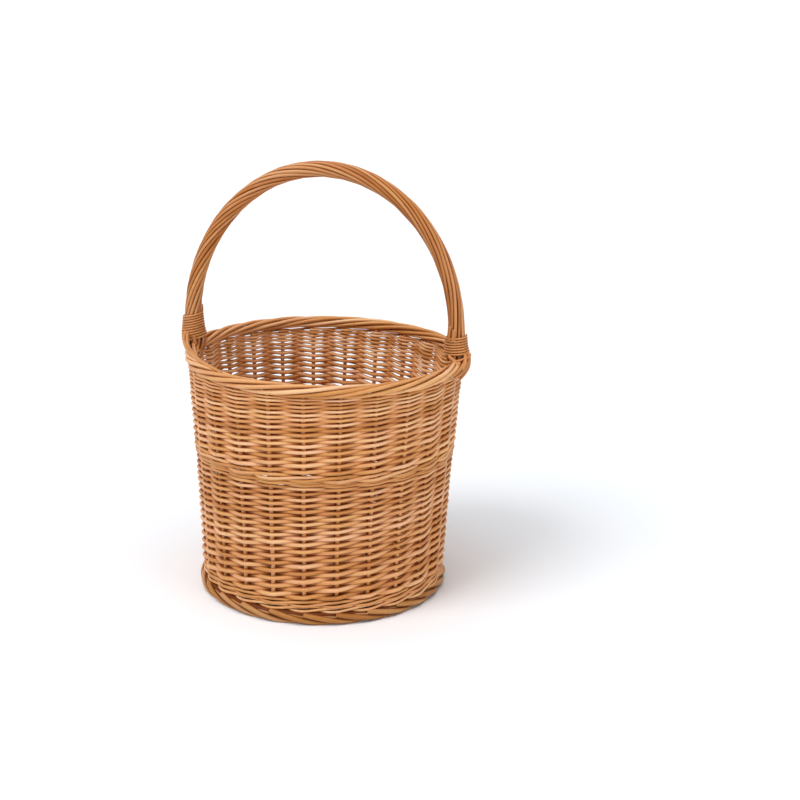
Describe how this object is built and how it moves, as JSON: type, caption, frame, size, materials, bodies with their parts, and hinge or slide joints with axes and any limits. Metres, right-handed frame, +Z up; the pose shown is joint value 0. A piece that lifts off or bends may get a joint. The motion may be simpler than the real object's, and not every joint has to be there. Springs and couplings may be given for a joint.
{
  "type": "hand basket",
  "caption": "Round open hand basket of woven willow with a fixed twisted bow handle, bound to the rim at both feet.",
  "frame": {"origin": "on the floor, under the middle of the basket", "axes": "+Z up through the middle of the bow handle, X from one foot of the handle to the other, Y square to the handle's plane"},
  "size_m": [0.3146, 0.2996, 0.4576],
  "materials": {
    "willow_weave": "peeled buff willow weavers, smooth and slightly glossy, colour varying from rod to rod",
    "willow_wale": "peeled buff willow, waled rods, slightly darker",
    "willow_stakes": "peeled buff willow stakes and base sticks, mostly hidden by the weave",
    "willow_border": "peeled buff willow rods of the rim and foot borders",
    "willow_handle": "peeled buff willow rods of the handle, smooth from the hand",
    "willow_binding": "thin peeled willow rods wound round the handle's feet"
  },
  "bodies": {
    "root": {"base_stick_pierced_1": "willow_stakes", "base_stick_pierced_2": "willow_stakes", "base_stick_pierced_3": "willow_stakes", "base_stick_through_1": "willow_stakes", "base_stick_through_2": "willow_stakes", "base_stick_through_3": "willow_stakes", "base_weave": "willow_weave", "binding_left": "willow_binding", "binding_right": "willow_binding", "foot_border": "willow_border", "handle_core": "willow_handle", "handle_wrap_1": "willow_handle", "handle_wrap_2": "willow_handle", "handle_wrap_3": "willow_handle", "lower_weave": "willow_weave", "rim_border": "willow_border", "stake_01": "willow_stakes", "stake_02": "willow_stakes", "stake_03": "willow_stakes", "stake_04": "willow_stakes", "stake_05": "willow_stakes", "stake_06": "willow_stakes", "stake_07": "willow_stakes", "stake_08": "willow_stakes", "stake_09": "willow_stakes", "stake_10": "willow_stakes", "stake_11": "willow_stakes", "stake_12": "willow_stakes", "stake_13": "willow_stakes", "stake_14": "willow_stakes", "stake_15": "willow_stakes", "stake_16": "willow_stakes", "stake_17": "willow_stakes", "stake_18": "willow_stakes", "stake_19": "willow_stakes", "stake_20": "willow_stakes", "stake_21": "willow_stakes", "stake_22": "willow_stakes", "stake_23": "willow_stakes", "stake_24": "willow_stakes", "top_wale": "willow_wale", "upper_weave": "willow_weave", "upsett_wale": "willow_wale", "waist_wale": "willow_wale"}
  },
  "joints": []
}
